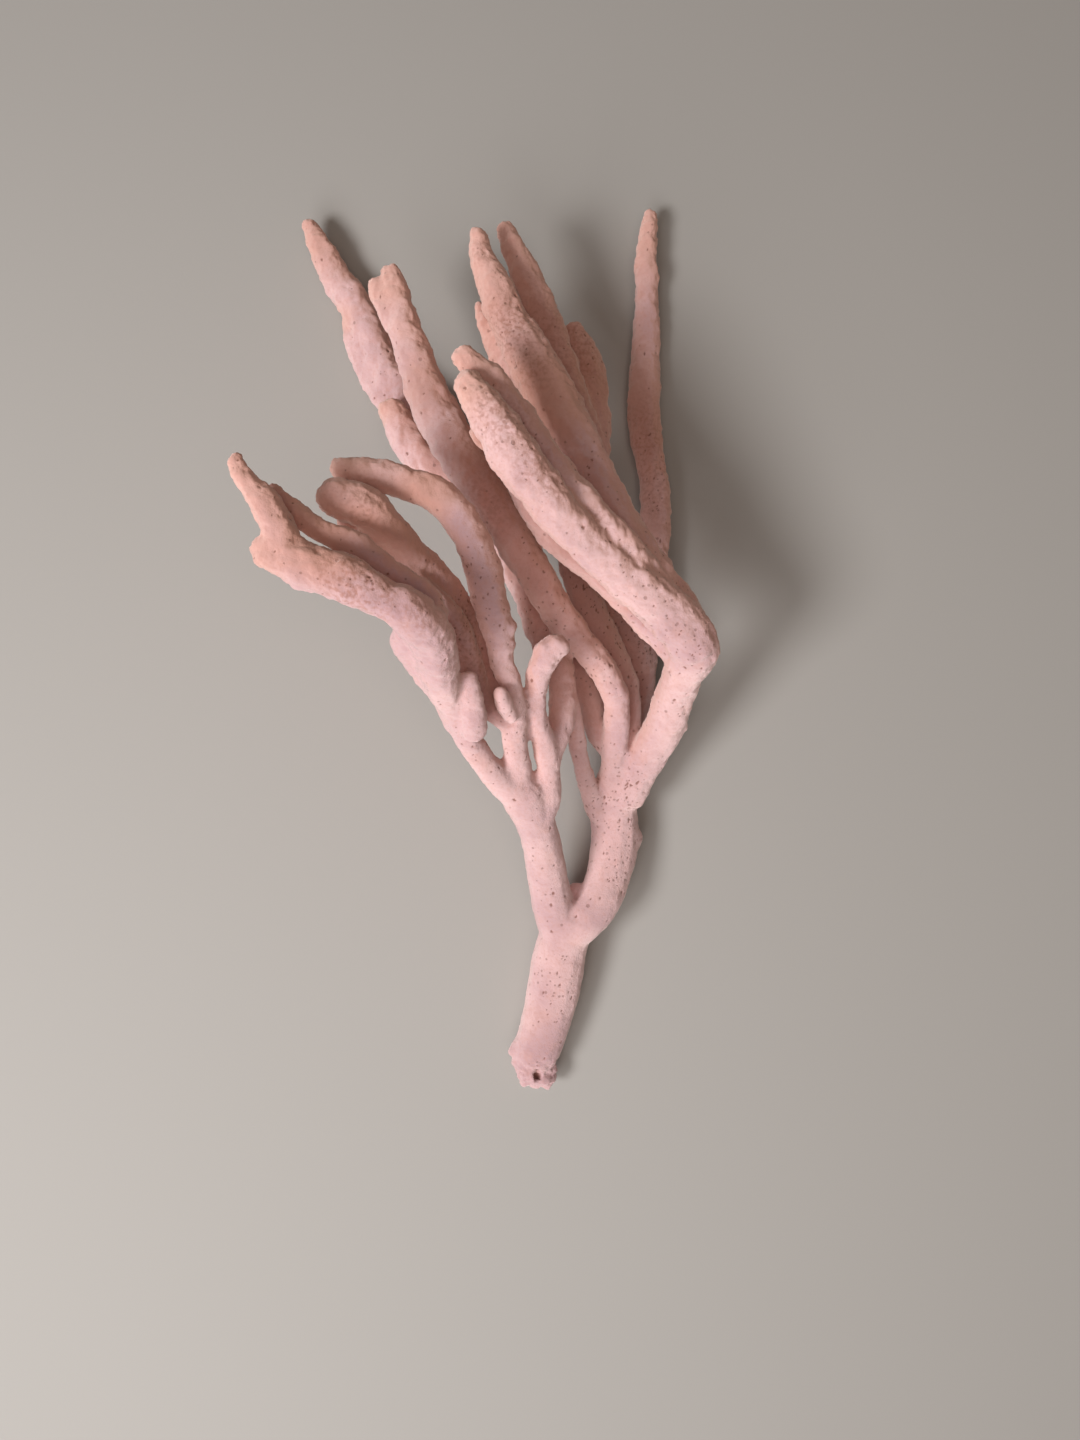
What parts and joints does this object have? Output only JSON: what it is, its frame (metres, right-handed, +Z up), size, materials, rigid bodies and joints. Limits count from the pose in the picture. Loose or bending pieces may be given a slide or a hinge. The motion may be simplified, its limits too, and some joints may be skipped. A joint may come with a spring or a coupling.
{
  "type": "branch sponge",
  "caption": "Dried branch sponge with a torn stalk and a bush of blunt, knobbly fingers, lying on its back as a natural display piece.",
  "frame": {"origin": "middle of the footprint, on the surface that the sponge lies on", "axes": "+Z up, +Y from the torn stalk towards the finger tips, +X to the side of the elbow-shaped limb"},
  "size_m": [0.193, 0.4312, 0.1656],
  "materials": {
    "dried_sponge": "dry, velvety pink skin with peach tips and small dark pores"
  },
  "bodies": {
    "root": {"stalk": "dried_sponge", "right_limb": "dried_sponge", "left_limb": "dried_sponge", "low_left_arm": "dried_sponge", "left_outer_strand": "dried_sponge", "low_left_finger": "dried_sponge", "low_left_back_finger": "dried_sponge", "left_thumb": "dried_sponge", "hooked_finger": "dried_sponge", "blunt_finger": "dried_sponge", "slim_finger": "dried_sponge", "short_hook": "dried_sponge", "long_left_finger": "dried_sponge", "left_side_finger": "dried_sponge", "left_short_finger": "dried_sponge", "right_link": "dried_sponge", "middle_finger": "dried_sponge", "middle_stub": "dried_sponge", "back_finger": "dried_sponge", "upper_back_finger": "dried_sponge", "far_right_finger": "dried_sponge", "rear_finger": "dried_sponge", "elbow_limb": "dried_sponge", "front_arm": "dried_sponge", "tall_finger": "dried_sponge", "front_arm_twin": "dried_sponge", "under_finger": "dried_sponge", "tall_finger_spur": "dried_sponge"}
  },
  "joints": []
}
